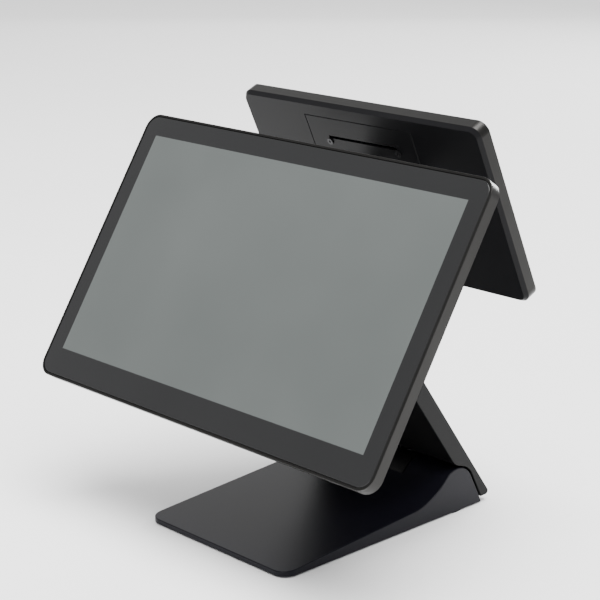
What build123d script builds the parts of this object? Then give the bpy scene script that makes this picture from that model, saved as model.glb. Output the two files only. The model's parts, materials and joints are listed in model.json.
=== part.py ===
"""Dual-screen point-of-sale touch terminal: wedge base, folding arm, main and customer displays.

Millimetres. +X is to the right of the operator, +Y points away from the operator, +Z is up.
The origin is on the counter, under the middle of the whole terminal's footprint.
"""

import os
from math import cos, radians, sin, sqrt, tan

from build123d import *

os.makedirs("parts", exist_ok=True)

# ---------------------------------------------------------------- driving dimensions
# Base
BASE_WIDTH = 160.0
BASE_DEPTH = 223.0
BASE_FRONT_Y = -104.25
BASE_CORNER_R = 12.0
BASE_SKIRT_Z = 1.2          # the rubber feet hold the skirt this far off the counter
BASE_NOSE_Z = 5.2           # height of the cover's thin front edge
WEDGE_DEG = 3.64            # rise of the cover towards the hinge
SWEEP_R = 60.0              # concave sweep from the wedge up to the hinge hump
BASE_WALL = 1.8
EDGE_R = 0.8                # rounding of the painted covers' outer edges
PLATE_T = 2.0
HUMP_R = 19.0
HUMP_TAIL_DEG = 28.0        # where the rear face leaves the hump, above the horizontal

# Lower hinge and arm
LOWER_HINGE = (BASE_FRONT_Y + 194.0, 19.0)
KNUCKLE_HALF = 36.0         # half width of the arm's own barrel between the two humps
KNUCKLE_R = 20.4
ARM_LEAN_DEG = 36.0         # the arm leans forward by this from the vertical
ARM_FRONT = 10.6            # the arm's two faces, measured from the lower hinge's axis
ARM_REAR = 26.1
ARM_LENGTH = 202.1          # lower hinge to upper hinge, along the arm
ARM_SCOOP_R = 20.6
SCOOP_CORNER_R = 16.0
ARM_TAIL = 35.9             # how far the arm's rear face reaches below the lower hinge
ARM_WALL = 2.0
NOTCH_HALF = 30.5           # half width of the arm's upper notch

# Main display: 15.6 inch, 16:9
MAIN_SIZE = (379.0, 237.2)
MAIN_CORNER = 13.0
MAIN_CENTRE = (BASE_FRONT_Y + 37.88, 208.18)
MAIN_TILT_DEG = 32.4        # leans back from the vertical
BAND_T = 10.0               # the frame's flat side band
HOUSING = (240.0, 140.0)
HOUSING_Y = 2.0             # its centre above the display's centre
HOUSING_BACK = 39.0         # depth of its rear face behind the glass

# Customer display: 10.1 inch
CUST_SIZE = (258.4, 161.6)
CUST_CORNER = 9.0
CUST_CENTRE = (BASE_FRONT_Y + 194.2, 261.0)
CUST_TILT_DEG = 25.0
CUST_AXIS_Y = 10.0
CUST_AXIS_DEPTH = 33.3
PANEL = (117.0, 121.0)      # service panel in its back
PANEL_Y = 7.8
PANEL_GROOVE = 0.6

# Shared by both displays
LIP = 1.9                   # frame's front lip round the glass
GLASS_GAP = 0.4
GLASS_T = 1.8
GASKET_T = 0.6
LEDGE = 8.3                 # how far the frame's glass ledge reaches inwards
LEDGE_T = 2.0
BAND_WALL = 3.0
COVER_CHAMFER = 2.6
COVER_T = 3.0

BRACKET_T = 3.0             # plates of the two display brackets

# Fits
RUN = 0.05                  # radial clearance of a shaft in its bush
SIDE_GAP = 0.5              # between parts that turn past each other

# ---------------------------------------------------------------- planes
lean, main_tilt, cust_tilt = radians(ARM_LEAN_DEG), radians(MAIN_TILT_DEG), radians(CUST_TILT_DEG)

# Face planes: local X across, local Y up the part, local Z out of its face.
MAIN = Plane((0, *MAIN_CENTRE), x_dir=(1, 0, 0), z_dir=(0, -cos(main_tilt), sin(main_tilt)))
CUST = Plane((0, *CUST_CENTRE), x_dir=(-1, 0, 0), z_dir=(0, cos(cust_tilt), sin(cust_tilt)))
ARM = Plane((0, *LOWER_HINGE), x_dir=(-1, 0, 0), z_dir=(0, cos(lean), sin(lean)))

# Side planes stand on a hinge axis: local X to the rear, local Y up the part, local Z along +X.
ARM_SIDE = Plane((0, *LOWER_HINGE), x_dir=(0, cos(lean), sin(lean)), z_dir=(1, 0, 0))
arm_mid = (ARM_FRONT + ARM_REAR) / 2
head_axis = ARM_SIDE.from_local_coords(Vector(arm_mid, ARM_LENGTH, 0))
head_local = MAIN.to_local_coords(head_axis)
HEAD_SIDE = Plane(head_axis, x_dir=(0, cos(main_tilt), -sin(main_tilt)), z_dir=(1, 0, 0))
cust_axis = CUST.from_local_coords(Vector(0, CUST_AXIS_Y, -CUST_AXIS_DEPTH))
CUST_SIDE = Plane(cust_axis, x_dir=(0, cos(cust_tilt), sin(cust_tilt)), z_dir=(1, 0, 0))


def save(part, name):
    """Labels a finished piece and writes it to its own file."""
    part.label = name
    export_step(part, f"parts/{name}.step")


def back(plane, depth):
    """The plane `depth` behind a face plane."""
    return plane.offset(-depth)


def outline(size, corner, inset=0.0, mode=Mode.ADD):
    """Draws a rounded rectangle, `inset` inside the given size."""
    RectangleRounded(size[0] - 2 * inset, size[1] - 2 * inset, corner - inset, mode=mode)


def mirrored(x_values, *rest):
    """Places at +x and -x for each value, with the same other coordinates."""
    return [(sign * x, *rest) for x in x_values for sign in (-1, 1)]


# ---------------------------------------------------------------- fasteners and hinge hardware
def screws(plane, places, shank_r, length, head_r, head_t, drive_r=0.9):
    """Pan-head screws whose heads stand on `plane` and whose shanks go in, against its normal."""
    with BuildPart(plane) as group:
        with Locations(places):
            Cylinder(shank_r, length, align=(Align.CENTER, Align.CENTER, Align.MAX))
            Cylinder(head_r, head_t, align=(Align.CENTER, Align.CENTER, Align.MIN))
        with Locations([(*place, head_t) for place in places]):
            Cylinder(drive_r, head_t, mode=Mode.SUBTRACT)
    return group.part


def along_x(side_plane, spans, outer_r, bore_r=0.0):
    """Round pieces or tubes on a hinge axis: one for each span of X."""
    with BuildPart() as group:
        for low, high in spans:
            with BuildSketch(side_plane.offset(low)):
                Circle(outer_r)
                if bore_r:
                    Circle(bore_r, mode=Mode.SUBTRACT)
            extrude(amount=high - low)
    return group.part


def hinge_stack(side_plane, start, shaft_r, outer_r):
    """Disc springs and a nut on each end of a hinge shaft, outside the ears at `start`."""
    disc_t, nut_t = 1.4, 3.0
    with BuildPart() as stack:
        for side in (-1, 1):
            for step in range(2):
                with BuildSketch(side_plane.offset(side * (start + step * disc_t))):
                    Circle(outer_r)
                    Circle(shaft_r, mode=Mode.SUBTRACT)
                extrude(amount=side * (disc_t - 0.2))
            with BuildSketch(side_plane.offset(side * (start + 2 * disc_t))):
                RegularPolygon(outer_r, 6)
                Circle(shaft_r, mode=Mode.SUBTRACT)
            extrude(amount=side * nut_t)
    return stack.part


# ================================================================ BASE
hinge_y, hinge_z = LOWER_HINGE
wedge_rise = tan(radians(WEDGE_DEG))
tail = radians(HUMP_TAIL_DEG)
plate_top = BASE_SKIRT_Z + PLATE_T
base_half = BASE_WIDTH / 2
bay_half = KNUCKLE_HALF + 1.2          # the cover's slot for the arm's barrel


def wedge_z(y):
    """Height of the cover's wedge-shaped top at y."""
    return BASE_NOSE_Z + wedge_rise * (y - BASE_FRONT_Y)


def base_profile(inset, bottom):
    """Draws the base's side outline in the YZ plane, `inset` inside its skin."""
    front = BASE_FRONT_Y + inset
    hump_r = HUMP_R - inset
    tail_y = hinge_y + hump_r * cos(tail)
    tail_z = hinge_z + hump_r * sin(tail)
    Polygon(
        (front, bottom),
        (front, wedge_z(front) - inset),
        (hinge_y, wedge_z(hinge_y) - inset),
        (tail_y, tail_z),
        (tail_y + (tail_z - bottom) * tan(tail), bottom),
        align=None,
    )
    with Locations(LOWER_HINGE):
        Circle(hump_r)


def base_block(inset, bottom):
    """The base's outer block, or with an inset the block that hollows its cover."""
    with BuildPart() as block:
        with BuildSketch(Plane.YZ) as side_view:
            base_profile(inset, bottom)
            corner = (hinge_y - HUMP_R + inset, wedge_z(hinge_y) - inset, 0)
            fillet(side_view.vertices().sort_by_distance(corner)[0], SWEEP_R + inset)
        extrude(amount=base_half - inset, both=True)
        front_corners = block.edges().filter_by(Axis.Z).sort_by(Axis.Y)[:2]
        fillet(front_corners, BASE_CORNER_R - inset)
    return block


# Screw rows under the base: distance behind the front edge, and the cover's height there.
screw_rows = [
    (60.0, wedge_z(BASE_FRONT_Y + 60.0)),
    (130.0, wedge_z(BASE_FRONT_Y + 130.0)),
    (193.0, hinge_z + HUMP_R),
]
SCREW_X = 67.0
screw_spots = [(x, BASE_FRONT_Y + y) for y, _ in screw_rows for x in (-SCREW_X, SCREW_X)]

with BuildPart() as base_cover:
    add(base_block(0, BASE_SKIRT_Z).part)
    side_faces = base_cover.faces().filter_by(Axis.X)
    upper_edges = [edge for face in side_faces for edge in face.edges()
                   if edge.center().Z > BASE_SKIRT_Z + 0.1 and abs(edge.tangent_at(0.5).Z) < 0.99]
    front_rim = base_cover.faces().sort_by(Axis.Y)[0].edges().sort_by(Axis.Z)[-1]
    fillet([front_rim, *upper_edges], EDGE_R)
    add(base_block(BASE_WALL, -1).part, mode=Mode.SUBTRACT)
    # Cheeks that close the two humps towards the slot.
    for side in (-1, 1):
        with BuildSketch(Plane.YZ.offset(side * (bay_half + 1))):
            base_profile(0.6, plate_top + 0.1)
            with Locations((hinge_y + 6, plate_top + 0.1)):
                Rectangle(64, 60, align=(Align.CENTER, Align.MIN), mode=Mode.INTERSECT)
        extrude(amount=1, both=True)
    for y, skin_z in screw_rows:
        with Locations(*mirrored([SCREW_X], BASE_FRONT_Y + y, plate_top + 0.1)):
            Cylinder(3.6, skin_z - 1.2 - plate_top, align=(Align.CENTER, Align.CENTER, Align.MIN))
            Cylinder(1.55, 4.2, align=(Align.CENTER, Align.CENTER, Align.MIN), mode=Mode.SUBTRACT)
    with BuildSketch(Plane.YZ):
        with Locations(LOWER_HINGE):
            Circle(KNUCKLE_R + 0.7)
    extrude(amount=bay_half, both=True, mode=Mode.SUBTRACT)
save(base_cover.part, "base_cover")

foot_spots = [(x, BASE_FRONT_Y + y) for y in (24.0, 204.0) for x in (-60.0, 60.0)]
FOOT_RECESS = 0.8
FOOT_R = 8.0

with BuildPart() as base_plate:
    length = BASE_DEPTH - BASE_WALL - 0.3 - 3.4
    with BuildSketch(Plane.XY.offset(BASE_SKIRT_Z)):
        with Locations((0, BASE_FRONT_Y + BASE_WALL + 0.3 + length / 2)):
            Rectangle(BASE_WIDTH - 2 * BASE_WALL - 0.6, length)
    extrude(amount=PLATE_T)
    front_corners = base_plate.edges().filter_by(Axis.Z).sort_by(Axis.Y)[:2]
    fillet(front_corners, BASE_CORNER_R - BASE_WALL)
    with Locations(Plane.XY.offset(BASE_SKIRT_Z)):
        with Locations(*foot_spots):
            Cylinder(FOOT_R, FOOT_RECESS, align=(Align.CENTER, Align.CENTER, Align.MIN),
                     mode=Mode.SUBTRACT)
        with Locations(*screw_spots):
            Cylinder(3.1, 1.1, align=(Align.CENTER, Align.CENTER, Align.MIN), mode=Mode.SUBTRACT)
            Cylinder(1.6, PLATE_T, align=(Align.CENTER, Align.CENTER, Align.MIN),
                     mode=Mode.SUBTRACT)
save(base_plate.part, "base_plate")

with BuildPart() as rubber_feet:
    with Locations(*foot_spots):
        Cylinder(FOOT_R - 0.1, BASE_SKIRT_Z + FOOT_RECESS,
                 align=(Align.CENTER, Align.CENTER, Align.MIN))
    fillet(rubber_feet.faces().filter_by(Axis.Z).group_by(Axis.Z)[0].edges(), 0.5)
save(rubber_feet.part, "rubber_feet")

floor_side = Plane((0, 0, BASE_SKIRT_Z + 1.1), x_dir=(1, 0, 0), z_dir=(0, 0, -1))
floor_screw_spots = [(x, -y) for x, y in screw_spots]
save(screws(floor_side, floor_screw_spots, 1.5, 4.8, 3.0, 0.9), "base_screws")

with BuildPart() as base_weight:
    with BuildSketch(Plane.XY.offset(plate_top)):
        with Locations((0, BASE_FRONT_Y + 117.0)):
            RectangleRounded(118, 92, 4)
    extrude(amount=3.8)
    with BuildSketch(Plane.XY.offset(plate_top + 3.8)):
        with Locations((0, BASE_FRONT_Y + 145.5)):
            RectangleRounded(118, 35, 4)
    extrude(amount=3.6)
save(base_weight.part, "base_weight")

EAR_IN, EAR_OUT = 24.0, 28.0
LOWER_SHAFT_R = 4.0
ear_foot_z = plate_top + 3.0
ear_screw_spots = mirrored([31.0], hinge_y - 9.0) + mirrored([31.0], hinge_y + 9.0)

with BuildPart() as base_hinge_ears:
    for side in (-1, 1):
        with BuildSketch(Plane.YZ.offset(side * EAR_IN)):
            with Locations(LOWER_HINGE):
                Circle(9.5)
            with Locations((hinge_y, (hinge_z + plate_top) / 2)):
                Rectangle(19, hinge_z - plate_top)
            with Locations(LOWER_HINGE):
                Circle(LOWER_SHAFT_R, mode=Mode.SUBTRACT)
        extrude(amount=side * (EAR_OUT - EAR_IN))
        with BuildSketch(Plane.XY.offset(plate_top)):
            with Locations((side * (EAR_OUT + 3), hinge_y)):
                Rectangle(6, 26)
        extrude(amount=3)
    with Locations(*[(*place, plate_top) for place in ear_screw_spots]):
        Cylinder(1.6, 12, mode=Mode.SUBTRACT)
save(base_hinge_ears.part, "base_hinge_ears")

save(screws(Plane.XY.offset(ear_foot_z), ear_screw_spots, 1.5, 3.0, 2.4, 1.6), "base_ear_screws")
save(along_x(Plane((0, *LOWER_HINGE), x_dir=(0, 1, 0), z_dir=(1, 0, 0)), [(-33.4, 33.4)],
             LOWER_SHAFT_R), "base_hinge_shaft")
save(hinge_stack(ARM_SIDE, EAR_OUT, LOWER_SHAFT_R, 7.0), "base_hinge_springs")

# ================================================================ ARM
arm_half_t = (ARM_REAR - ARM_FRONT) / 2
upper = (arm_mid, ARM_LENGTH)
NOTCH_UP = ARM_LENGTH - 12.5


def arm_slab(inset):
    """Draws the arm's side outline: slab, rounded top and the scoop that clears the humps."""
    with Locations((arm_mid, ARM_LENGTH)):
        Rectangle(2 * (arm_half_t - inset), ARM_LENGTH + ARM_TAIL + 10,
                  align=(Align.CENTER, Align.MAX))
    with Locations(upper):
        Circle(arm_half_t - inset)
    # Below the hinge the scoop runs straight down, beside the base's sloping rear face.
    with Locations(Location((0, 0), HUMP_TAIL_DEG - ARM_LEAN_DEG)):
        Rectangle(2 * (ARM_SCOOP_R + inset), ARM_TAIL + 20, align=(Align.CENTER, Align.MAX),
                  mode=Mode.SUBTRACT)
    Circle(ARM_SCOOP_R + inset, mode=Mode.SUBTRACT)


with BuildPart() as arm_shell:
    with BuildSketch(ARM_SIDE) as slab:
        arm_slab(0)
        with Locations(Location((ARM_REAR, -ARM_TAIL), -ARM_LEAN_DEG)):
            Rectangle(90, 30, align=(Align.CENTER, Align.MAX), mode=Mode.SUBTRACT)
        scoop_top = (ARM_FRONT, sqrt(ARM_SCOOP_R**2 - ARM_FRONT**2), 0)
        fillet(slab.vertices().sort_by_distance(scoop_top)[0], SCOOP_CORNER_R)
        fillet(slab.vertices().sort_by_distance((ARM_REAR, -ARM_TAIL, 0))[0], 3)
    extrude(amount=base_half, both=True)
    fillet(arm_shell.faces().filter_by(Axis.X).edges(), EDGE_R)
    # The inside, open to the rear.
    with BuildSketch(ARM_SIDE):
        arm_slab(ARM_WALL)
        with Locations((ARM_REAR, ARM_LENGTH - 3)):
            Rectangle(2 * ARM_WALL + 2, ARM_LENGTH + ARM_TAIL, align=(Align.CENTER, Align.MAX))
        with Locations(Location((ARM_REAR, -ARM_TAIL + 3.2), -ARM_LEAN_DEG)):
            Rectangle(90, 30, align=(Align.CENTER, Align.MAX), mode=Mode.SUBTRACT)
    extrude(amount=base_half - ARM_WALL, both=True, mode=Mode.SUBTRACT)
    # Two cheeks and a floor shape the notch for the display's barrel.
    for side in (-1, 1):
        with BuildSketch(ARM_SIDE.offset(side * (NOTCH_HALF + 1))):
            with Locations((arm_mid, NOTCH_UP + 5)):
                Rectangle(2 * arm_half_t, 14)
            with Locations(upper):
                Circle(arm_half_t)
                Circle(3.3, mode=Mode.SUBTRACT)
        extrude(amount=1, both=True)
    with BuildSketch(ARM_SIDE):
        with Locations((arm_mid, NOTCH_UP - 1)):
            Rectangle(2 * arm_half_t, 2)
    extrude(amount=NOTCH_HALF + 1, both=True)
    with BuildSketch(ARM_SIDE):
        with Locations((arm_mid, NOTCH_UP)):
            Rectangle(2 * arm_half_t + 2, 30, align=(Align.CENTER, Align.MIN))
    extrude(amount=NOTCH_HALF, both=True, mode=Mode.SUBTRACT)
    # The way in for the lower knuckle, all of it under the hinge hood.
    with BuildSketch(ARM_SIDE):
        with Locations((9, -9)):
            Rectangle(13, 24.8, align=(Align.MIN, Align.MIN))
        with Locations((ARM_FRONT + ARM_WALL, -9)):
            Rectangle(9, 26.8, align=(Align.MIN, Align.MIN))
    extrude(amount=25, both=True, mode=Mode.SUBTRACT)
save(arm_shell.part, "arm_shell")

rear_screw_spots = mirrored([68.0], 28.0) + mirrored([68.0], 100.0) + mirrored([68.0], 180.0)

with BuildPart() as arm_rear_cover:
    low, high = 5.3 - ARM_TAIL, NOTCH_UP - 2.4
    cover_half = base_half - ARM_WALL - 0.3
    with BuildSketch(ARM.offset(ARM_REAR)):
        with Locations((0, (low + high) / 2)):
            Rectangle(2 * cover_half, high - low)
        for side in (-1, 1):
            inner = NOTCH_HALF + 2.3
            with Locations((side * (inner + cover_half) / 2, (high + ARM_LENGTH - 4) / 2)):
                Rectangle(cover_half - inner, ARM_LENGTH - 4 - high)
    extrude(amount=-ARM_WALL)
    with BuildSketch(ARM.offset(ARM_REAR)):
        with Locations(*rear_screw_spots):
            Circle(3.0)
    extrude(amount=-1.0, mode=Mode.SUBTRACT)
    with BuildSketch(ARM.offset(ARM_REAR)):
        with Locations(*rear_screw_spots):
            Circle(1.6)
    extrude(amount=-ARM_WALL, mode=Mode.SUBTRACT)
save(arm_rear_cover.part, "arm_rear_cover")

save(screws(ARM.offset(ARM_REAR - 1.0), rear_screw_spots, 1.5, 5.0, 2.8, 0.9), "arm_cover_screws")

FRAME_FRONT, FRAME_REAR = 17.0, 20.0
lower_bolts = mirrored([15.0], 36.0)
upper_bolts = mirrored([39.0], 176.0)

with BuildPart() as arm_frame:
    with BuildSketch(ARM.offset(FRAME_REAR)):
        with Locations((0, 104)):
            RectangleRounded(116, 174, 5)
        with Locations((0, 78), (0, 134)):
            RectangleRounded(64, 44, 6, mode=Mode.SUBTRACT)
        with Locations(*lower_bolts, *upper_bolts):
            Circle(1.6, mode=Mode.SUBTRACT)
        with Locations((0, NOTCH_UP + 1)):
            Rectangle(2 * NOTCH_HALF + 4, 20, mode=Mode.SUBTRACT)
    extrude(amount=FRAME_FRONT - FRAME_REAR)
save(arm_frame.part, "arm_frame")

with BuildPart() as arm_bosses:
    for x, up in rear_screw_spots:
        with BuildSketch(ARM.offset(ARM_FRONT + ARM_WALL)):
            with Locations((x, up)):
                Circle(3.4)
        extrude(amount=ARM_REAR - ARM_FRONT - 2 * ARM_WALL)
        with BuildSketch(ARM.offset(ARM_REAR - ARM_WALL)):
            with Locations((x, up)):
                Circle(1.55)
        extrude(amount=-6, mode=Mode.SUBTRACT)
save(arm_bosses.part, "arm_spacers")

KNUCKLE_OUT = EAR_IN - SIDE_GAP
with BuildPart() as arm_lower_knuckle:
    with BuildSketch(ARM_SIDE):
        with BuildLine():
            Polyline((0, -9.5), (7, -7.5), (FRAME_FRONT, 7), (FRAME_FRONT, 44), (13.2, 44),
                     (13.2, 15.4), (10, 9.5), (0, 9.5), close=True)
        make_face()
        Circle(9.5)
        Circle(5.5, mode=Mode.SUBTRACT)
    extrude(amount=KNUCKLE_OUT - 0.8, both=True)
    with BuildSketch(ARM.offset(FRAME_FRONT)):
        with Locations(*lower_bolts):
            Circle(1.55)
    extrude(amount=-3.0, mode=Mode.SUBTRACT)
save(arm_lower_knuckle.part, "arm_lower_knuckle")

with BuildPart() as arm_lower_bushes:
    for side in (-1, 1):
        with BuildSketch(ARM_SIDE.offset(side * 9)):
            Circle(5.5)
            Circle(LOWER_SHAFT_R + RUN, mode=Mode.SUBTRACT)
        extrude(amount=side * (KNUCKLE_OUT - 9))
        with BuildSketch(ARM_SIDE.offset(side * (KNUCKLE_OUT - 0.8))):
            Circle(8)
            Circle(5.4, mode=Mode.SUBTRACT)
        extrude(amount=side * 0.8)
save(arm_lower_bushes.part, "arm_lower_bushes")

HOOD_T = 1.8
HOOD_END_DEG = 156.0        # the hood ends below the cover's slot, in the arm's own angle
with BuildPart() as arm_hinge_hood:
    with BuildSketch(ARM_SIDE) as hood:
        with BuildLine():
            Polyline((0, 0), (ARM_FRONT, 0), (ARM_FRONT, 30), (-30, 30),
                     (-30, -30 * tan(radians(HOOD_END_DEG))), close=True)
        make_face()
        Circle(KNUCKLE_R, mode=Mode.INTERSECT)
    extrude(amount=KNUCKLE_HALF, both=True)
    fillet(arm_hinge_hood.edges().filter_by(GeomType.CIRCLE), 1.0)
    with BuildSketch(ARM_SIDE):
        Circle(KNUCKLE_R - HOOD_T)
    extrude(amount=KNUCKLE_HALF - HOOD_T, both=True, mode=Mode.SUBTRACT)
    with BuildSketch(ARM_SIDE):
        Circle(6)
    extrude(amount=KNUCKLE_HALF, both=True, mode=Mode.SUBTRACT)
save(arm_hinge_hood.part, "arm_hinge_hood")

UPPER_SHAFT_R = 3.0
LUG_IN, LUG_OUT = NOTCH_HALF + 2.4, NOTCH_HALF + 14.0
with BuildPart() as arm_upper_lugs:
    for side in (-1, 1):
        with BuildSketch(ARM_SIDE.offset(side * LUG_IN)):
            with Locations(upper):
                Circle(5.4)
            with Locations((15.0, ARM_LENGTH)):
                Rectangle(3.8, 32, align=(Align.CENTER, Align.MAX))
            with Locations(upper):
                Circle(UPPER_SHAFT_R, mode=Mode.SUBTRACT)
        extrude(amount=side * (LUG_OUT - LUG_IN))
    with BuildSketch(ARM.offset(FRAME_FRONT)):
        with Locations(*upper_bolts):
            Circle(1.55)
    extrude(amount=-2.6, mode=Mode.SUBTRACT)
save(arm_upper_lugs.part, "arm_upper_lugs")

save(screws(ARM.offset(FRAME_REAR), lower_bolts + upper_bolts, 1.5, 5.4, 2.6, 1.8),
     "arm_frame_screws")
HEAD_ARM_SIDE = Plane(head_axis, x_dir=(0, cos(lean), sin(lean)), z_dir=(1, 0, 0))
save(along_x(HEAD_ARM_SIDE, [(-51, 51)], UPPER_SHAFT_R), "head_hinge_shaft")
save(hinge_stack(HEAD_ARM_SIDE, LUG_OUT, UPPER_SHAFT_R, 5.2), "head_hinge_springs")


# ================================================================ DISPLAYS
def display_frame(plane, size, corner, depth):
    """Aluminium frame: a flat outer band, a lip round the glass and a ledge behind it."""
    ledge_back = GLASS_T + GASKET_T + LEDGE_T
    with BuildPart() as frame:
        with BuildSketch(plane):
            outline(size, corner)
        extrude(amount=-depth)
        normal = Axis(plane.origin, plane.z_dir)
        rims = frame.faces().filter_by(normal).edges()
        fillet(rims, 0.45)
        with BuildSketch(plane):
            outline(size, corner, LIP)
        extrude(amount=-(GLASS_T + GASKET_T), mode=Mode.SUBTRACT)
        with BuildSketch(plane):
            outline(size, corner, LEDGE)
        extrude(amount=-depth, mode=Mode.SUBTRACT)
        with BuildSketch(back(plane, ledge_back)):
            outline(size, corner, BAND_WALL)
        extrude(amount=-depth, mode=Mode.SUBTRACT)
    return frame


def display_glass(plane, size, corner):
    """Touch glass with a fine chamfer round its front face."""
    with BuildPart() as glass:
        with BuildSketch(plane):
            outline(size, corner, LIP + GLASS_GAP)
        extrude(amount=-GLASS_T)
        front = glass.faces().sort_by(Axis(plane.origin, plane.z_dir))[-1]
        chamfer(front.edges(), 0.3)
    return glass.part


def display_gasket(plane, size, corner):
    """Adhesive foam ring between the glass and the frame's ledge."""
    with BuildPart() as gasket:
        with BuildSketch(back(plane, GLASS_T)):
            outline(size, corner, LIP + GLASS_GAP + 0.6)
            outline(size, corner, LEDGE - 0.3, Mode.SUBTRACT)
        extrude(amount=-GASKET_T)
    return gasket.part


def display_cover(plane, size, corner, depth, opening, opening_y, opening_r):
    """Rear cover: chamfered edge, a lip that centres it in the frame and one opening."""
    with BuildPart() as cover:
        with BuildSketch(back(plane, depth)):
            outline(size, corner)
        with BuildSketch(back(plane, depth + COVER_T)):
            outline(size, corner, COVER_CHAMFER)
        loft()
        with BuildSketch(back(plane, depth)):
            outline(size, corner, BAND_WALL + 0.3)
        extrude(amount=-1.0, mode=Mode.SUBTRACT)
        with BuildSketch(back(plane, depth + 1.0)):
            outline(size, corner, BAND_WALL + 0.3)
            Rectangle(size[0] - 10.2, size[1] - 10.2, mode=Mode.SUBTRACT)
        extrude(amount=2.8)
        with BuildSketch(back(plane, depth)):
            with Locations((0, opening_y)):
                RectangleRounded(*opening, opening_r)
        extrude(amount=-COVER_T, mode=Mode.SUBTRACT)
    return cover


def plate(plane, front, thickness, width, height, y=0.0, holes=(), hole_r=1.6):
    """A flat rectangular piece between two depths of a display, with round holes."""
    with BuildPart() as flat:
        with BuildSketch(back(plane, front)):
            with Locations((0, y)):
                Rectangle(width, height)
            if holes:
                with Locations(*holes):
                    Circle(hole_r, mode=Mode.SUBTRACT)
        extrude(amount=-thickness)
    return flat.part


def blocks(plane, pieces):
    """Rectangular pieces given as (x, y, width, height, front depth, rear depth)."""
    with BuildPart() as group:
        for x, y, width, height, front, rear in pieces:
            with BuildSketch(back(plane, front)):
                with Locations((x, y)):
                    Rectangle(width, height)
            extrude(amount=front - rear)
    return group.part


def corners(width, height, x=0.0, y=0.0):
    """The four corners of a rectangle of holes."""
    return [(x + sx * width / 2, y + sy * height / 2) for sx in (-1, 1) for sy in (-1, 1)]


# ---------------------------------------------------------------- main display
cover_back = BAND_T + COVER_T
FOOT = (92.0, 26.0)         # foot of the arm that carries the customer display
FOOT_Y = 96.0
arm_foot_spots = corners(78, 14, 0, FOOT_Y)
BUTTON_X, BUTTON_DEPTH = 150.0, 7.0
BUTTON = (11.2, 3.1)
BUTTON_GAP = 0.4
bottom_y = -MAIN_SIZE[1] / 2

with BuildPart() as main_frame:
    add(display_frame(MAIN, MAIN_SIZE, MAIN_CORNER, BAND_T).part)
    button_face = Plane(MAIN.from_local_coords(Vector(BUTTON_X, bottom_y, -BUTTON_DEPTH)),
                        x_dir=(1, 0, 0), z_dir=-MAIN.y_dir)
    with BuildSketch(button_face):
        RectangleRounded(BUTTON[0] + 2 * BUTTON_GAP, BUTTON[1] + 2 * BUTTON_GAP, 1.9)
    extrude(amount=-4, mode=Mode.SUBTRACT)
save(main_frame.part, "main_frame")

BUTTON_PROUD, BUTTON_FLANGE_IN = 0.1, 3.5
with BuildPart() as power_button:
    with BuildSketch(button_face.offset(BUTTON_PROUD)):
        RectangleRounded(*BUTTON, 1.5)
    extrude(amount=-(BUTTON_PROUD + BUTTON_FLANGE_IN))
    fillet(power_button.faces().sort_by(Axis(button_face.origin, button_face.z_dir))[-1].edges(), 0.3)
    with BuildSketch(button_face.offset(-BUTTON_FLANGE_IN)):
        Rectangle(BUTTON[0] + 3, BUTTON[1] + 0.8)
    extrude(amount=-1.0)
save(power_button.part, "power_button")

SWITCH_GAP = 1.3
with BuildPart() as power_switch:
    with BuildSketch(button_face.offset(-BUTTON_FLANGE_IN - 1.0 - SWITCH_GAP)):
        Circle(1.5)
    extrude(amount=-1.0)
    with BuildSketch(button_face.offset(-BUTTON_FLANGE_IN - 2.0 - SWITCH_GAP)):
        Rectangle(6, 3.6)
    extrude(amount=-2.6)
    with BuildSketch(button_face.offset(-BUTTON_FLANGE_IN - 4.6 - SWITCH_GAP)):
        Rectangle(16, 4.0)
    extrude(amount=-0.8)
save(power_switch.part, "power_switch")

save(display_glass(MAIN, MAIN_SIZE, MAIN_CORNER), "touch_glass")
save(display_gasket(MAIN, MAIN_SIZE, MAIN_CORNER), "glass_gasket")
LCD_BACK = GLASS_T + 3.6
save(plate(MAIN, GLASS_T, LCD_BACK - GLASS_T, 359.5, 210, 0.5), "lcd_panel")

BOARD_FRONT, BOARD_T = 19.0, 1.6
board_holes = corners(186, 92, 0, 7.0)
TRAY_FRONT = LCD_BACK + 0.4
with BuildPart() as lcd_chassis:
    add(plate(MAIN, TRAY_FRONT, 1.0, 364, 211, 1.0))
    with BuildSketch(back(MAIN, TRAY_FRONT)):
        with Locations((0, 1.0)):
            Rectangle(364, 211)
            Rectangle(362, 209, mode=Mode.SUBTRACT)
    extrude(amount=-3.0)
    with BuildSketch(back(MAIN, TRAY_FRONT)):
        with Locations((-150, 30), (150, 30)):
            RectangleRounded(34, 90, 6)
    extrude(amount=-1.0, mode=Mode.SUBTRACT)
save(lcd_chassis.part, "lcd_chassis")

with BuildPart() as board_standoffs:
    with BuildSketch(back(MAIN, TRAY_FRONT + 1.0)):
        with Locations(*board_holes):
            RegularPolygon(2.8, 6)
            Circle(1.25, mode=Mode.SUBTRACT)
    extrude(amount=-(BOARD_FRONT - TRAY_FRONT - 1.0))
save(board_standoffs.part, "board_standoffs")

SPEAKER_X, SPEAKER_Y = 152.0, -90.0
with BuildPart() as main_rear_cover:
    add(display_cover(MAIN, MAIN_SIZE, MAIN_CORNER, BAND_T, (216, 110), HOUSING_Y + 3, 6).part)
    with BuildSketch(back(MAIN, BAND_T)):
        for side in (-1, 1):
            with Locations((side * SPEAKER_X, SPEAKER_Y)):
                with GridLocations(3.6, 0, 8, 1):
                    SlotOverall(12, 1.6, rotation=90)
        with Locations(*arm_foot_spots):
            Circle(1.65)
    extrude(amount=-COVER_T, mode=Mode.SUBTRACT)
    # The centring lip stops short of the power button.
    with BuildSketch(back(MAIN, BAND_T)):
        with Locations((BUTTON_X, bottom_y + 4)):
            Rectangle(BUTTON[0] + 10, 8)
    extrude(amount=4, mode=Mode.SUBTRACT)
save(main_rear_cover.part, "main_rear_cover")

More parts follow.
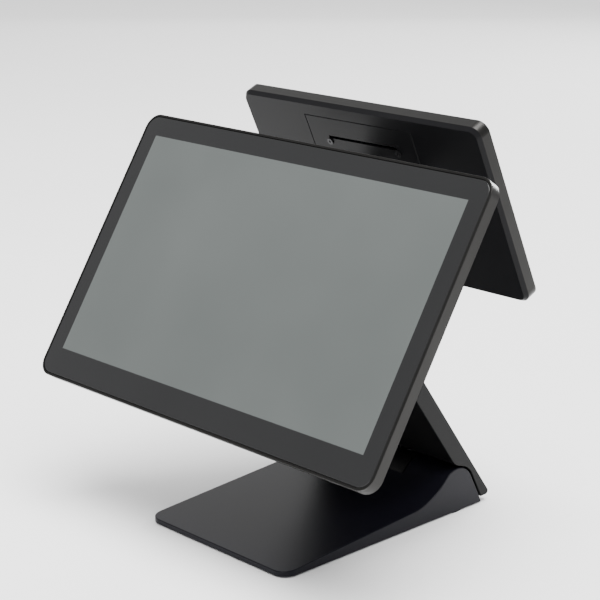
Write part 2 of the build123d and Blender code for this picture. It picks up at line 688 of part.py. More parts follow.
with BuildPart() as speakers:
    for side in (-1, 1):
        with BuildSketch(back(MAIN, TRAY_FRONT + 1.1)):
            with Locations((side * SPEAKER_X, SPEAKER_Y)):
                RectangleRounded(40, 20, 3)
        extrude(amount=-3.4)
        with BuildSketch(back(MAIN, TRAY_FRONT + 4.5)):
            with Locations((side * SPEAKER_X, SPEAKER_Y)):
                SlotOverall(30, 13)
                SlotOverall(26, 9, mode=Mode.SUBTRACT)
        extrude(amount=-0.5)
save(speakers.part, "speakers")

HOUSING_R, HOUSING_WALL = 12.0, 2.2
BAY = (160.0, 18.0)
bay_bottom = HOUSING_Y - HOUSING[1] / 2
bay_top = bay_bottom + BAY[1]
housing_inner = HOUSING_BACK - HOUSING_WALL
SOCKET_FRONT = BOARD_FRONT + BOARD_T
SOCKET_LENGTH = 14.0
DC_X, DC_WIDTH, DC_HEIGHT = 64.0, 9.4, 10.4
# Sockets along the board's lower edge. For each kind: its places along the edge, its width, its
# height off the board, and its mouths as (width, height, height of their middle off the board).
socket_rows = {
    "usb_ports": ((-62.0, -44.0), 13.6, 14.2, [(12.0, 4.6, 3.9), (12.0, 4.6, 10.3)]),
    "lan_ports": ((-20.0, 0.0), 15.6, 13.0, [(11.8, 8.0, 6.6)]),
    "serial_ports": ((22.0, 42.0), 12.6, 11.6, [(9.8, 7.0, 5.8)]),
}
socket_holes = [(DC_X, DC_WIDTH, DC_HEIGHT)]
for places, width, height, _ in socket_rows.values():
    socket_holes += [(x, width, height) for x in places]

with BuildPart() as computer_housing:
    with BuildSketch(back(MAIN, cover_back)):
        with Locations((0, HOUSING_Y)):
            RectangleRounded(*HOUSING, HOUSING_R)
    extrude(amount=-(HOUSING_BACK - cover_back))
    rear_rim = computer_housing.faces().sort_by(Axis(MAIN.origin, MAIN.z_dir))[0].edges()
    fillet(rear_rim, 4.0)
    with BuildSketch(back(MAIN, cover_back)):
        with Locations((0, HOUSING_Y)):
            RectangleRounded(HOUSING[0] - 2 * HOUSING_WALL, HOUSING[1] - 2 * HOUSING_WALL,
                             HOUSING_R - HOUSING_WALL)
    extrude(amount=-(housing_inner - cover_back), mode=Mode.SUBTRACT)
    # Walls of the recessed connector bay.
    with BuildSketch(back(MAIN, cover_back)):
        with Locations((0, bay_top + 1)):
            Rectangle(BAY[0] + 4, 2)
        for side in (-1, 1):
            with Locations((side * (BAY[0] / 2 + 1), (bay_bottom + bay_top) / 2 + 1)):
                Rectangle(2, BAY[1] + 2)
    extrude(amount=-(housing_inner - cover_back + 0.5))
    # Mouth of the bay, and the opening that its door closes.
    with BuildSketch(back(MAIN, cover_back)):
        with Locations((0, bay_bottom)):
            Rectangle(BAY[0], 2 * HOUSING_WALL + 1)
    extrude(amount=-(housing_inner - cover_back), mode=Mode.SUBTRACT)
    with BuildSketch(back(MAIN, housing_inner)):
        with Locations((0, bay_bottom)):
            Rectangle(BAY[0], BAY[1] - 1.5, align=(Align.CENTER, Align.MIN))
            Rectangle(BAY[0], 6)
    extrude(amount=-HOUSING_WALL - 1, mode=Mode.SUBTRACT)
    for x, width, height in socket_holes:
        with BuildSketch(back(MAIN, SOCKET_FRONT - 0.3)):
            with Locations((x, bay_top + 1)):
                Rectangle(width + 0.6, 3)
        extrude(amount=-(height + 0.6), mode=Mode.SUBTRACT)
    # Warm air leaves through slots in the top wall.
    vent_face = Plane(MAIN.from_local_coords(Vector(0, HOUSING_Y + HOUSING[1] / 2,
                                                    -(cover_back + housing_inner) / 2)),
                      x_dir=(1, 0, 0), z_dir=MAIN.y_dir)
    with BuildSketch(vent_face):
        with GridLocations(6, 0, 30, 1):
            SlotOverall(14, 2.6, rotation=90)
    extrude(amount=-HOUSING_WALL, mode=Mode.SUBTRACT)
    with BuildSketch(back(MAIN, HOUSING_BACK)):
        with Locations(*corners(100, 100, 0, head_local.Y - 6)):
            Circle(2.05)
    extrude(amount=HOUSING_WALL, mode=Mode.SUBTRACT)
save(computer_housing.part, "computer_housing")

with BuildPart() as io_door:
    with BuildSketch(back(MAIN, housing_inner)):
        with Locations((0, bay_bottom + 0.3)):
            Rectangle(BAY[0] - 0.6, BAY[1] - 2.2, align=(Align.CENTER, Align.MIN))
            RectangleRounded(24, 5, 2.4, mode=Mode.SUBTRACT)
    extrude(amount=-HOUSING_WALL)
save(io_door.part, "io_door")

board_bottom = bay_top + 2.4
with BuildPart() as mainboard:
    add(plate(MAIN, BOARD_FRONT, BOARD_T, 196, 104, board_bottom + 52, board_holes, 1.5))
    for x, y, width, height, tall in (
        (-20, 14, 24, 24, 1.6), (-60, 46, 12, 12, 1.2), (70, 40, 16, 10, 2.0), (93, 10, 8, 18, 3.0),
        (60, -6, 10, 10, 4.0), (74, -6, 10, 10, 4.0), (-84, 0, 14, 14, 1.0),
    ):
        with BuildSketch(back(MAIN, BOARD_FRONT + BOARD_T)):
            with Locations((x, y)):
                Rectangle(width, height)
        extrude(amount=-tall)
save(mainboard.part, "mainboard")

save(screws(Plane(back(MAIN, BOARD_FRONT + BOARD_T).origin, x_dir=(-1, 0, 0), z_dir=-MAIN.z_dir),
            [(-x, y) for x, y in board_holes], 1.2, 5.0, 2.4, 1.5), "board_screws")

with BuildPart() as heatsink:
    with BuildSketch(back(MAIN, BOARD_FRONT + BOARD_T + 1.6)):
        with Locations((-20, 14)):
            Rectangle(64, 58)
    extrude(amount=-2.6)
    with BuildSketch(back(MAIN, BOARD_FRONT + BOARD_T + 4.2)):
        with Locations((-20, 14)):
            with GridLocations(5.6, 0, 12, 1):
                Rectangle(1.4, 58)
    extrude(amount=-9.0)
save(heatsink.part, "heatsink")

memory_front = SOCKET_FRONT + 1.8
with BuildPart() as memory_module:
    add(blocks(MAIN, [(52, 20, 67.6, 26, memory_front, memory_front + 1.0)]))
    with BuildSketch(back(MAIN, memory_front + 1.0)):
        with Locations((52, 22)):
            with GridLocations(16, 0, 4, 1):
                Rectangle(12, 10)
    extrude(amount=-1.0)
save(memory_module.part, "memory_module")

with BuildPart() as ssd_drive:
    add(blocks(MAIN, [(-20, 51, 80, 11.0, SOCKET_FRONT + 1.4, SOCKET_FRONT + 2.4)]))
    with BuildSketch(back(MAIN, SOCKET_FRONT + 2.4)):
        with Locations((-20, 51)):
            with GridLocations(18, 0, 4, 1):
                Rectangle(14, 9)
    extrude(amount=-1.0)
save(ssd_drive.part, "ssd_drive")

socket_mouth = Plane(MAIN.from_local_coords(Vector(0, bay_top - 0.4, -SOCKET_FRONT)),
                     x_dir=(1, 0, 0), z_dir=-MAIN.y_dir)
for name, (places, width, height, mouths) in socket_rows.items():
    with BuildPart() as socket:
        for x in places:
            with BuildSketch(socket_mouth):
                with Locations((x, 0)):
                    Rectangle(width, height, align=(Align.CENTER, Align.MAX))
            extrude(amount=-SOCKET_LENGTH)
            for mouth_width, mouth_height, off_board in mouths:
                with BuildSketch(socket_mouth):
                    with Locations((x, -off_board)):
                        Rectangle(mouth_width, mouth_height)
                extrude(amount=-9, mode=Mode.SUBTRACT)
    save(socket.part, name)

with BuildPart() as dc_inlet:
    with BuildSketch(socket_mouth):
        with Locations((DC_X, 0)):
            Rectangle(DC_WIDTH, DC_HEIGHT, align=(Align.CENTER, Align.MAX))
        with Locations((DC_X, -DC_HEIGHT / 2)):
            Circle(3.2, mode=Mode.SUBTRACT)
            Circle(1.0)
    extrude(amount=-9)
    with BuildSketch(socket_mouth.offset(-9)):
        with Locations((DC_X, 0)):
            Rectangle(DC_WIDTH, DC_HEIGHT, align=(Align.CENTER, Align.MAX))
    extrude(amount=9 - SOCKET_LENGTH)
save(dc_inlet.part, "dc_inlet")

bracket_y = head_local.Y - 6
vesa_100 = corners(100, 100, 0, bracket_y)
head_depth = -head_local.Z
BARREL_R = 7.2
with BuildPart() as head_bracket:
    with BuildSketch(back(MAIN, HOUSING_BACK)):
        with Locations((0, bracket_y)):
            RectangleRounded(116, 116, 8)
        with Locations((0, bracket_y + 34)):
            RectangleRounded(60, 22, 5, mode=Mode.SUBTRACT)
        with Locations((0, bracket_y - 34)):
            RectangleRounded(60, 22, 5, mode=Mode.SUBTRACT)
        with Locations(*vesa_100):
            Circle(2.05, mode=Mode.SUBTRACT)
    extrude(amount=-BRACKET_T)
    with BuildSketch(HEAD_SIDE):
        Circle(BARREL_R)
        with Locations((-(head_depth - HOUSING_BACK - BRACKET_T + 0.5) / 2, 0)):
            Rectangle(head_depth - HOUSING_BACK - BRACKET_T + 0.5, 11)
        Circle(4.2, mode=Mode.SUBTRACT)
    extrude(amount=NOTCH_HALF - 1.0 - SIDE_GAP, both=True)
save(head_bracket.part, "head_bracket")

with BuildPart() as head_bushes:
    for side in (-1, 1):
        with BuildSketch(HEAD_SIDE.offset(side * 12)):
            Circle(4.2)
            Circle(UPPER_SHAFT_R + RUN, mode=Mode.SUBTRACT)
        extrude(amount=side * (NOTCH_HALF - SIDE_GAP - 12))
        with BuildSketch(HEAD_SIDE.offset(side * (NOTCH_HALF - 1.0 - SIDE_GAP))):
            Circle(6.4)
            Circle(4.1, mode=Mode.SUBTRACT)
        extrude(amount=side * 1.0)
save(head_bushes.part, "head_hinge_bushes")

rear_face = Plane(back(MAIN, HOUSING_BACK + BRACKET_T).origin, x_dir=(-1, 0, 0), z_dir=-MAIN.z_dir)
save(screws(rear_face, [(-x, y) for x, y in vesa_100], 2.0, 5.8, 3.6, 2.2, 1.3),
     "head_bracket_screws")

# ---------------------------------------------------------------- customer display
save(display_frame(CUST, CUST_SIZE, CUST_CORNER, BAND_T).part, "customer_frame")
save(display_glass(CUST, CUST_SIZE, CUST_CORNER), "customer_glass")
save(display_gasket(CUST, CUST_SIZE, CUST_CORNER), "customer_gasket")
save(plate(CUST, GLASS_T, 3.2, 235, 142), "customer_lcd")
save(plate(CUST, GLASS_T + 3.4, 1.0, 240, 146), "customer_chassis")

with BuildPart() as customer_board:
    add(blocks(CUST, [(-40, -30, 84, 46, 7.4, 8.8)]))
    for x, y, width, height in ((-60, -30, 14, 14), (-20, -18, 20, 8), (-20, -42, 9, 7)):
        with BuildSketch(back(CUST, 8.8)):
            with Locations((x, y)):
                Rectangle(width, height)
        extrude(amount=-1.2)
save(customer_board.part, "customer_board")

panel_front = BAND_T + COVER_T - GLASS_T
with BuildPart() as customer_rear_cover:
    add(display_cover(CUST, CUST_SIZE, CUST_CORNER, BAND_T, (PANEL[0] - 8, PANEL[1] - 8),
                      PANEL_Y, 3).part)
    with BuildSketch(back(CUST, panel_front)):
        with Locations((0, PANEL_Y)):
            Rectangle(PANEL[0], PANEL[1])
    extrude(amount=-3, mode=Mode.SUBTRACT)
save(customer_rear_cover.part, "customer_rear_cover")

vesa_75 = corners(75, 75, 0, PANEL_Y)
foot_spots_cust = corners(48, 40, 0, 6)
SLIT = (75.0, 2.6)
SLIT_Y = 49.5
with BuildPart() as customer_panel:
    with BuildSketch(back(CUST, panel_front)):
        with Locations((0, PANEL_Y)):
            Rectangle(PANEL[0] - 2 * PANEL_GROOVE, PANEL[1] - 2 * PANEL_GROOVE)
        with Locations((0, SLIT_Y)):
            Rectangle(*SLIT, mode=Mode.SUBTRACT)
        with Locations(*vesa_75, *foot_spots_cust):
            Circle(1.7, mode=Mode.SUBTRACT)
    extrude(amount=-GLASS_T)
    panel_face = customer_panel.faces().sort_by(Axis(CUST.origin, CUST.z_dir))[0]
    chamfer(panel_face.outer_wire().edges(), 0.3)
save(customer_panel.part, "customer_panel")

cust_rear = Plane(back(CUST, BAND_T + COVER_T).origin, x_dir=(1, 0, 0), z_dir=-CUST.z_dir)
bracket_rear = cust_rear.offset(BRACKET_T)
with BuildPart() as customer_screws:
    add(screws(cust_rear, [(-x, y) for x, y in vesa_75], 1.6, 4.0, 2.9, 1.1, 1.0))
    add(screws(bracket_rear, [(-x, y) for x, y in foot_spots_cust], 1.6, 6.0, 2.8, 1.6, 1.0))
save(customer_screws.part, "customer_screws")

cust_cover_back = BAND_T + COVER_T
cust_reach = CUST_AXIS_DEPTH - cust_cover_back - BRACKET_T
EAR_T = 4.5
CUST_BARREL_HALF = 20.0
CUST_SHAFT_R = 3.0
with BuildPart() as customer_bracket:
    with BuildSketch(back(CUST, cust_cover_back)):
        with Locations((0, 6)):
            RectangleRounded(64, 54, 5)
        with Locations(*foot_spots_cust):
            Circle(1.7, mode=Mode.SUBTRACT)
    extrude(amount=-BRACKET_T)
    with BuildSketch(CUST_SIDE):
        Circle(7)
        with Locations(((cust_reach + 0.5) / 2, 0)):
            Rectangle(cust_reach + 0.5, 10)
        Circle(4.2, mode=Mode.SUBTRACT)
    extrude(amount=CUST_BARREL_HALF - 1.0 - SIDE_GAP, both=True)
save(customer_bracket.part, "customer_bracket")

with BuildPart() as customer_bushes:
    for side in (-1, 1):
        with BuildSketch(CUST_SIDE.offset(side * 8)):
            Circle(4.2)
            Circle(CUST_SHAFT_R + RUN, mode=Mode.SUBTRACT)
        extrude(amount=side * (CUST_BARREL_HALF - SIDE_GAP - 8))
        with BuildSketch(CUST_SIDE.offset(side * (CUST_BARREL_HALF - 1.0 - SIDE_GAP))):
            Circle(6)
            Circle(4.1, mode=Mode.SUBTRACT)
        extrude(amount=side * 1.0)
save(customer_bushes.part, "customer_hinge_bushes")

# The arm that carries the customer display stands on the main display's rear cover.
TONGUE_HALF = 25.0 + EAR_T
hinge_gap = 10.5
foot_point = MAIN.from_local_coords(Vector(0, FOOT_Y, -cover_back - 1))
tongue_dir = (cust_axis - foot_point).normalized()
tongue_up = Vector(0, -tongue_dir.Z, tongue_dir.Y)
TONGUE_T = 11.0
with BuildPart() as customer_arm:
    with BuildSketch(back(MAIN, cover_back)):
        with Locations((0, FOOT_Y)):
            RectangleRounded(*FOOT, 4)
        with Locations(*arm_foot_spots):
            Circle(1.7, mode=Mode.SUBTRACT)
    extrude(amount=-BRACKET_T)
    near = foot_point
    far = cust_axis - tongue_dir * hinge_gap
    half_up = tongue_up * (TONGUE_T / 2)
    outline_points = [near - half_up, far - half_up, far + half_up, near + half_up]
    with BuildSketch(Plane.YZ):
        Polygon(*[(p.Y, p.Z) for p in outline_points], align=None)
    extrude(amount=TONGUE_HALF, both=True)
    for side in (-1, 1):
        with BuildSketch(Plane.YZ.offset(side * (CUST_BARREL_HALF))):
            ear_points = [far - tongue_dir * 3 - half_up, cust_axis - half_up, cust_axis + half_up,
                          far - tongue_dir * 3 + half_up]
            Polygon(*[(p.Y, p.Z) for p in ear_points], align=None)
            with Locations((cust_axis.Y, cust_axis.Z)):
                Circle(7.2)
                Circle(CUST_SHAFT_R, mode=Mode.SUBTRACT)
        extrude(amount=side * EAR_T)
save(customer_arm.part, "customer_arm")

foot_rear = Plane(back(MAIN, cover_back + BRACKET_T).origin, x_dir=(-1, 0, 0), z_dir=-MAIN.z_dir)
save(screws(foot_rear, [(-x, y) for x, y in arm_foot_spots], 1.6, 5.0, 2.8, 1.6, 1.0),
     "customer_arm_screws")
save(along_x(CUST_SIDE, [(-30, 30)], CUST_SHAFT_R), "customer_hinge_shaft")
save(hinge_stack(CUST_SIDE, CUST_BARREL_HALF + EAR_T, CUST_SHAFT_R, 5.2), "customer_hinge_springs")

for label, point in (("lower hinge", Vector(0, *LOWER_HINGE)), ("upper hinge", head_axis),
                     ("customer hinge", cust_axis), ("button", button_face.origin)):
    print(label, [round(value / 1000, 6) for value in point])
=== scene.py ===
"""Looks for a dual-screen point-of-sale touch terminal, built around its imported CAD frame.

Metres, in the frame's own axes: +X to the operator's right, +Y away from the operator, +Z up.
"""

import json
from math import cos, radians, sin

import bmesh
import bpy
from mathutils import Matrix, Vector


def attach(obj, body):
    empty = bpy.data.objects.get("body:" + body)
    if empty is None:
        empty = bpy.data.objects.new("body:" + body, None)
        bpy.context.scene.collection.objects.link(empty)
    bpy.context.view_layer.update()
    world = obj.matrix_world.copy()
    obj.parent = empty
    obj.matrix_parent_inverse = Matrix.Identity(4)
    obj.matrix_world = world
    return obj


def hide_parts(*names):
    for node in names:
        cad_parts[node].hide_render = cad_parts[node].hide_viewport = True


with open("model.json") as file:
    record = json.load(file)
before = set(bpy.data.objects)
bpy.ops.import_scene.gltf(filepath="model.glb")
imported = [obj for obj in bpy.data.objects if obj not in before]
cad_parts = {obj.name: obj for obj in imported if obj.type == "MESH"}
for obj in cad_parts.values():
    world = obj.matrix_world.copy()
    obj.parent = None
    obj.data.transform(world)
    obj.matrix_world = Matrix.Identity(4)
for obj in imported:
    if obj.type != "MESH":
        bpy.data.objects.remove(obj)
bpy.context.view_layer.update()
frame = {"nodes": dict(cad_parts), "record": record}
nodes = frame["nodes"]

# ---------------------------------------------------------------- driving values
MAIN_TILT_DEG = 32.4            # the main screen leans back from the vertical
CUSTOMER_TILT_DEG = 25.0        # the customer screen leans back the other way
MAIN_ACTIVE = (0.34416, 0.19359)        # 15.6 inch picture area
MAIN_ACTIVE_Y = 0.0029                  # its middle above the glass's middle
CUSTOMER_ACTIVE = (0.2227, 0.1253)      # 10.1 inch picture area
GLASS_T = 0.0018
GLASS_CHAMFER = 0.0004
MAIN_GLASS_CORNER = 0.0107
CUSTOMER_GLASS_CORNER = 0.0067

CAMERA_TARGET = Vector((0.0, -0.01155, 0.1842))
CAMERA_AZIMUTH_DEG = 46.15
CAMERA_ELEVATION_DEG = 15.73
CAMERA_DISTANCE = 1.40086
CAMERA_LENS = 107.0

FLOOR_HALF = 14.0
WORLD_STRENGTH = 1.05
SOFT_LIGHTS = {                 # name: position, target, size of the square, power
    "overhead_softbox": ((0.5, -0.3, 3.2), (0, 0, 0), 2.6, 320),
    "rear_softbox": ((-0.6, 3.2, 0.9), (0, 0, 0.2), 0.9, 60),
    "left_rear_softbox": ((-2.3, 2.2, 0.95), (0, 0, 0.1), 1.6, 5),
}

NOISE_LOW, NOISE_HIGH = 0.3, 0.7        # nearly all of a noise pattern lies between these
GLASS_IOR = 1.42
BORDER_DARK, BORDER_LIGHT = (0.0052, 0.0053, 0.0057), (0.0068, 0.0070, 0.0074)
PICTURE_DARK, PICTURE_LIGHT = (0.060, 0.067, 0.065), (0.070, 0.077, 0.075)


# ---------------------------------------------------------------- shader helpers
def new_material(name):
    """An empty material with a Principled shader: returns the material, its nodes, links and shader."""
    mat = bpy.data.materials.new(name)
    mat.use_nodes = True
    tree = mat.node_tree
    tree.nodes.clear()
    out = tree.nodes.new("ShaderNodeOutputMaterial")
    shader = tree.nodes.new("ShaderNodeBsdfPrincipled")
    tree.links.new(shader.outputs["BSDF"], out.inputs["Surface"])
    return mat, tree.nodes, tree.links, shader


def noise(tree_nodes, links, size, detail=3.0, stretch=(1, 1, 1), turn_deg=0.0):
    """A noise pattern in object space whose lumps are about `size` metres; returns its Fac socket.

    The stretch is along axes turned about X, and a number below 1 makes the lumps longer that way.
    """
    place = tree_nodes.new("ShaderNodeTexCoord")
    scale = tree_nodes.new("ShaderNodeMapping")
    scale.vector_type = "TEXTURE"
    scale.inputs["Rotation"].default_value = (radians(turn_deg), 0, 0)
    scale.inputs["Scale"].default_value = tuple(1 / along for along in stretch)
    pattern = tree_nodes.new("ShaderNodeTexNoise")
    pattern.inputs["Scale"].default_value = 1.0 / size
    pattern.inputs["Detail"].default_value = detail
    links.new(place.outputs["Object"], scale.inputs["Vector"])
    links.new(scale.outputs["Vector"], pattern.inputs["Vector"])
    return pattern.outputs["Fac"]


def spread(tree_nodes, links, fac, low, high):
    """Maps the middle of a noise pattern to the range from low to high."""
    rule = tree_nodes.new("ShaderNodeMapRange")
    rule.inputs["From Min"].default_value = NOISE_LOW
    rule.inputs["From Max"].default_value = NOISE_HIGH
    rule.inputs["To Min"].default_value = low
    rule.inputs["To Max"].default_value = high
    links.new(fac, rule.inputs["Value"])
    return rule.outputs["Result"]


def tint(tree_nodes, links, fac, dark, light):
    """A colour between two, led by a pattern."""
    ramp = tree_nodes.new("ShaderNodeValToRGB")
    ramp.color_ramp.elements[0].position = NOISE_LOW
    ramp.color_ramp.elements[0].color = (*dark, 1)
    ramp.color_ramp.elements[1].position = NOISE_HIGH
    ramp.color_ramp.elements[1].color = (*light, 1)
    links.new(fac, ramp.inputs["Fac"])
    return ramp.outputs["Color"]


def surface(name, colour, roughness, metallic=0.0, vary=0.08, rough_vary=0.04, patch=0.03,
            grain=0.0004, bump=0.15, depth=0.00004, stretch=(1, 1, 1), turn_deg=0.0, ior=1.5):
    """A satin, grained or glossy finish: slow patches of colour and roughness, and a fine relief."""
    mat, tree_nodes, links, shader = new_material(name)
    patches = noise(tree_nodes, links, patch)
    dark = tuple(c * (1 - vary) for c in colour)
    light = tuple(min(c * (1 + vary), 1.0) for c in colour)
    links.new(tint(tree_nodes, links, patches, dark, light), shader.inputs["Base Color"])
    fine = noise(tree_nodes, links, grain, 2.0, stretch, turn_deg)
    links.new(spread(tree_nodes, links, fine, roughness - rough_vary, roughness + rough_vary),
              shader.inputs["Roughness"])
    relief = tree_nodes.new("ShaderNodeBump")
    relief.inputs["Strength"].default_value = bump
    relief.inputs["Distance"].default_value = depth
    links.new(fine, relief.inputs["Height"])
    links.new(relief.outputs["Normal"], shader.inputs["Normal"])
    shader.inputs["Metallic"].default_value = metallic
    shader.inputs["IOR"].default_value = ior
    return mat


def glass_surface(name, dark, light, roughness):
    """Flat touch glass over a printed or display layer, with faint wiped marks in its gloss."""
    mat, tree_nodes, links, shader = new_material(name)
    cloud = noise(tree_nodes, links, 0.12, 2.0)
    links.new(tint(tree_nodes, links, cloud, dark, light), shader.inputs["Base Color"])
    wipes = noise(tree_nodes, links, 0.02, 4.0, (1, 0.25, 0.25))
    links.new(spread(tree_nodes, links, wipes, roughness * 0.7, roughness * 1.4),
              shader.inputs["Roughness"])
    shader.inputs["IOR"].default_value = GLASS_IOR
    return mat


def circuit_board(name):
    """Green solder mask with fine, lighter green tracks."""
    mat, tree_nodes, links, shader = new_material(name)
    place = tree_nodes.new("ShaderNodeTexCoord")
    tracks = tree_nodes.new("ShaderNodeTexVoronoi")
    tracks.distance = "MANHATTAN"
    tracks.feature = "DISTANCE_TO_EDGE"
    tracks.inputs["Scale"].default_value = 260.0
    links.new(place.outputs["Object"], tracks.inputs["Vector"])
    ramp = tree_nodes.new("ShaderNodeValToRGB")
    ramp.color_ramp.elements[0].position = 0.05
    ramp.color_ramp.elements[0].color = (0.03, 0.16, 0.07, 1)
    ramp.color_ramp.elements[1].position = 0.12
    ramp.color_ramp.elements[1].color = (0.01, 0.07, 0.03, 1)
    links.new(tracks.outputs["Distance"], ramp.inputs["Fac"])
    links.new(ramp.outputs["Color"], shader.inputs["Base Color"])
    fine = noise(tree_nodes, links, 0.0006, 2.0)
    links.new(spread(tree_nodes, links, fine, 0.28, 0.42), shader.inputs["Roughness"])
    return mat


def brushed_frame(name, turn_deg):
    """Dark anodised aluminium, brushed along its band: layers in the plane of the display."""
    return surface(name, (0.0255, 0.0250, 0.0242), 0.34, 1.0, vary=0.06, rough_vary=0.06, grain=0.0011,
                   bump=0.35, depth=0.00004, stretch=(0.02, 0.02, 1), turn_deg=turn_deg)


# ---------------------------------------------------------------- materials by record slot
finishes = {
    "base_paint": surface("satin_powder_coat", (0.0042, 0.0041, 0.0070), 0.33, vary=0.10, grain=0.00055,
                          bump=0.35, depth=0.00005, ior=1.24),
    "arm_paint": surface("satin_arm_coat", (0.0032, 0.0032, 0.0034), 0.36, vary=0.10, grain=0.00055,
                         bump=0.35, depth=0.00005, ior=1.21),
    "frame_aluminium": brushed_frame("main_frame_aluminium", 90 - MAIN_TILT_DEG),
    "gloss_cover": surface("gloss_black_moulding", (0.0062, 0.0062, 0.0070), 0.31, vary=0.06,
                           rough_vary=0.012, grain=0.0006, bump=0.06, depth=0.00002, ior=1.19),
    "cover_plastic": surface("textured_black_moulding", (0.006, 0.006, 0.0066), 0.46, grain=0.0006,
                             bump=0.6, depth=0.00006, ior=1.38),
    "bracket_metal": surface("black_bracket_coat", (0.007, 0.007, 0.0075), 0.40, grain=0.0005, bump=0.3),
    "button_metal": surface("brushed_button", (0.06, 0.06, 0.06), 0.36, 1.0, grain=0.0003,
                            stretch=(0.05, 1, 1)),
    "rubber": surface("moulded_rubber", (0.013, 0.013, 0.013), 0.75, grain=0.0006, bump=0.4),
    "foam": surface("foam_tape", (0.012, 0.012, 0.012), 0.9, grain=0.0005, bump=0.6),
    "zinc_steel": surface("zinc_plated_sheet", (0.52, 0.53, 0.55), 0.35, 1.0, vary=0.12, patch=0.006),
    "hinge_steel": surface("turned_steel", (0.55, 0.55, 0.55), 0.28, 1.0, grain=0.0004,
                           stretch=(1, 0.1, 0.1)),
    "bush_brass": surface("turned_brass", (0.60, 0.44, 0.20), 0.3, 1.0, grain=0.0004,
                          stretch=(1, 0.1, 0.1)),
    "screw_black": surface("black_zinc_screws", (0.03, 0.03, 0.032), 0.35, 0.8, patch=0.002),
    "spacer_plastic": surface("moulded_spacers", (0.02, 0.02, 0.02), 0.5),
    "lcd_cell": surface("display_cell", (0.10, 0.11, 0.11), 0.3),
    "circuit_board": circuit_board("green_circuit_board"),
    "heatsink_aluminium": surface("extruded_aluminium", (0.60, 0.60, 0.62), 0.35, 1.0,
                                  stretch=(1, 0.05, 0.05)),
    "speaker_black": surface("black_small_mouldings", (0.015, 0.015, 0.015), 0.5),
    "socket_shell": surface("plated_socket_shells", (0.58, 0.58, 0.58), 0.28, 1.0, patch=0.004),
    "socket_plastic": surface("black_socket_moulding", (0.015, 0.015, 0.015), 0.45),
}
own_finish = {"customer_frame": brushed_frame("customer_frame_aluminium", CUSTOMER_TILT_DEG - 90)}
slot_of = {row["node"]: row["material_slot"] for row in frame["record"]["subparts"]}
for name, node in nodes.items():
    finish = own_finish.get(name) or finishes.get(slot_of[name])
    if finish:
        node.data.materials.clear()
        node.data.materials.append(finish)

border_print = glass_surface("black_border_under_glass", BORDER_DARK, BORDER_LIGHT, 0.06)
ground_edge = surface("ground_glass_edge", (0.0050, 0.0050, 0.0053), 0.35, ior=1.4)
main_picture = glass_surface("main_display_off", PICTURE_DARK, PICTURE_LIGHT, 0.08)
customer_picture = glass_surface("customer_display_off", PICTURE_DARK, PICTURE_LIGHT, 0.08)


# ---------------------------------------------------------------- the two touch glasses
def rounded_rectangle(width, height, corner, steps=8):
    """Points of a rounded rectangle, anticlockwise from the lower right corner's start."""
    points = []
    for quarter, (sx, sy) in enumerate(((1, -1), (1, 1), (-1, 1), (-1, -1))):
        for step in range(steps + 1):
            angle = radians(-90 + 90 * quarter + 90 * step / steps)
            points.append((sx * (width / 2 - corner) + corner * cos(angle),
                           sy * (height / 2 - corner) + corner * sin(angle)))
    return points


def touch_glass(name, node, x_dir, y_dir, z_dir, corner, active, active_y, picture, body):
    """A glass with a chamfered rim, a black printed border and a sharp-edged picture area."""
    corners = [v.co for v in nodes[node].data.vertices]
    middles, sizes = [], []
    for axis in (x_dir, y_dir, z_dir):
        reach = [p.dot(axis) for p in corners]
        middles.append((min(reach) + max(reach)) / 2)
        sizes.append(max(reach) - min(reach))
    front = middles[2] + sizes[2] / 2

    def place(x, y, depth):
        return x_dir * (middles[0] + x) + y_dir * (middles[1] + y) + z_dir * (front - depth)

    mesh = bmesh.new()
    width, height = sizes[0], sizes[1]
    rim = rounded_rectangle(width, height, corner)
    inner = rounded_rectangle(width - 2 * GLASS_CHAMFER, height - 2 * GLASS_CHAMFER, corner - GLASS_CHAMFER)
    rings = [[mesh.verts.new(place(x, y, depth)) for x, y in ring]
             for ring, depth in ((rim, GLASS_T), (rim, GLASS_CHAMFER), (inner, 0.0))]
    count = len(rim)
    for low, high in zip(rings, rings[1:]):
        for i in range(count):
            j = (i + 1) % count
            mesh.faces.new((low[i], low[j], high[j], high[i])).material_index = 2
    mesh.faces.new(list(reversed(rings[0])))
    half_x, half_y = active[0] / 2, active[1] / 2
    window = [mesh.verts.new(place(sx * half_x, active_y + sy * half_y, 0.0))
              for sx, sy in ((1, -1), (1, 1), (-1, 1), (-1, -1))]
    steps = count // 4
    front_ring = rings[2]
    for quarter in range(4):
        arc = front_ring[quarter * steps:(quarter + 1) * steps]
        for i in range(steps - 1):
            mesh.faces.new((window[quarter], arc[i], arc[i + 1]))
        nxt = (quarter + 1) % 4
        mesh.faces.new((window[quarter], arc[-1], front_ring[nxt * steps], window[nxt]))
    picture_face = mesh.faces.new(window)
    picture_face.material_index = 1
    bmesh.ops.recalc_face_normals(mesh, faces=mesh.faces)
    data = bpy.data.meshes.new(name)
    mesh.to_mesh(data)
    mesh.free()
    piece = bpy.data.objects.new(name, data)
    bpy.context.scene.collection.objects.link(piece)
    data.materials.append(border_print)
    data.materials.append(picture)
    data.materials.append(ground_edge)
    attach(piece, body)
    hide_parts(node)
    return piece


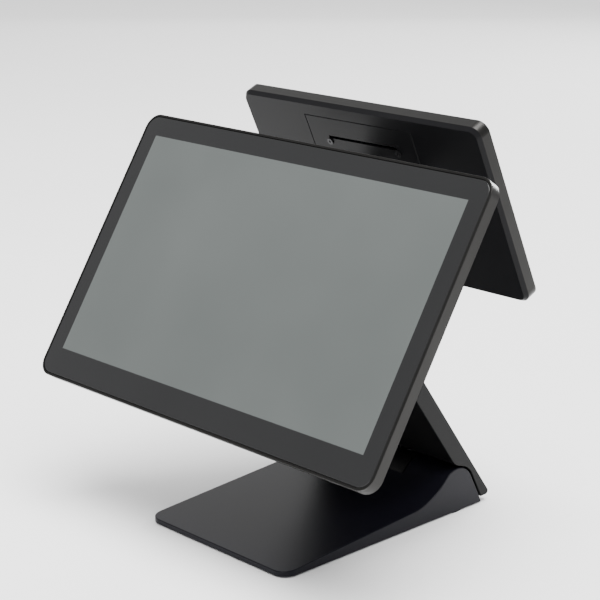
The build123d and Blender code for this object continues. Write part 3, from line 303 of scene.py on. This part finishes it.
lean = radians(MAIN_TILT_DEG)
touch_glass("main_touch_glass", "touch_glass", Vector((1, 0, 0)), Vector((0, sin(lean), cos(lean))),
            Vector((0, -cos(lean), sin(lean))), MAIN_GLASS_CORNER, MAIN_ACTIVE, MAIN_ACTIVE_Y,
            main_picture, "main_display")
lean = radians(CUSTOMER_TILT_DEG)
touch_glass("customer_touch_glass", "customer_glass", Vector((-1, 0, 0)),
            Vector((0, -sin(lean), cos(lean))), Vector((0, cos(lean), sin(lean))),
            CUSTOMER_GLASS_CORNER, CUSTOMER_ACTIVE, 0.0, customer_picture, "customer_display")

# ---------------------------------------------------------------- floor, light and camera
floor_mesh = bpy.data.meshes.new("studio_floor")
floor_corners = [(x * FLOOR_HALF, y * FLOOR_HALF, 0) for x, y in ((-1, -1), (1, -1), (1, 1), (-1, 1))]
floor_mesh.from_pydata(floor_corners, [], [(0, 1, 2, 3)])
floor = bpy.data.objects.new("studio_floor", floor_mesh)
bpy.context.scene.collection.objects.link(floor)
floor_mesh.materials.append(surface("pale_floor", (0.93, 0.93, 0.93), 0.7, vary=0.01, patch=0.5, grain=0.002,
                                    bump=0.05))

world = bpy.data.worlds.new("studio")
world.use_nodes = True
world.node_tree.nodes["Background"].inputs["Color"].default_value = (1.0, 1.0, 1.0, 1)
world.node_tree.nodes["Background"].inputs["Strength"].default_value = WORLD_STRENGTH
bpy.context.scene.world = world


def soft_light(name, position, target, size, power):
    """A large square area light aimed at a point."""
    data = bpy.data.lights.new(name, "AREA")
    data.size = size
    data.energy = power
    lamp = bpy.data.objects.new(name, data)
    lamp.location = position
    lamp.rotation_euler = (Vector(target) - Vector(position)).to_track_quat("-Z", "Y").to_euler()
    bpy.context.scene.collection.objects.link(lamp)


for light_name, light_values in SOFT_LIGHTS.items():
    soft_light(light_name, *light_values)

azimuth, elevation = radians(CAMERA_AZIMUTH_DEG), radians(CAMERA_ELEVATION_DEG)
away = Vector((sin(azimuth) * cos(elevation), -cos(azimuth) * cos(elevation), sin(elevation)))
camera_data = bpy.data.cameras.new("camera")
camera_data.lens = CAMERA_LENS
camera_data.clip_end = 60.0
camera = bpy.data.objects.new("camera", camera_data)
camera.location = CAMERA_TARGET + away * CAMERA_DISTANCE
camera.rotation_euler = (-away).to_track_quat("-Z", "Y").to_euler()
bpy.context.scene.collection.objects.link(camera)
bpy.context.scene.camera = camera
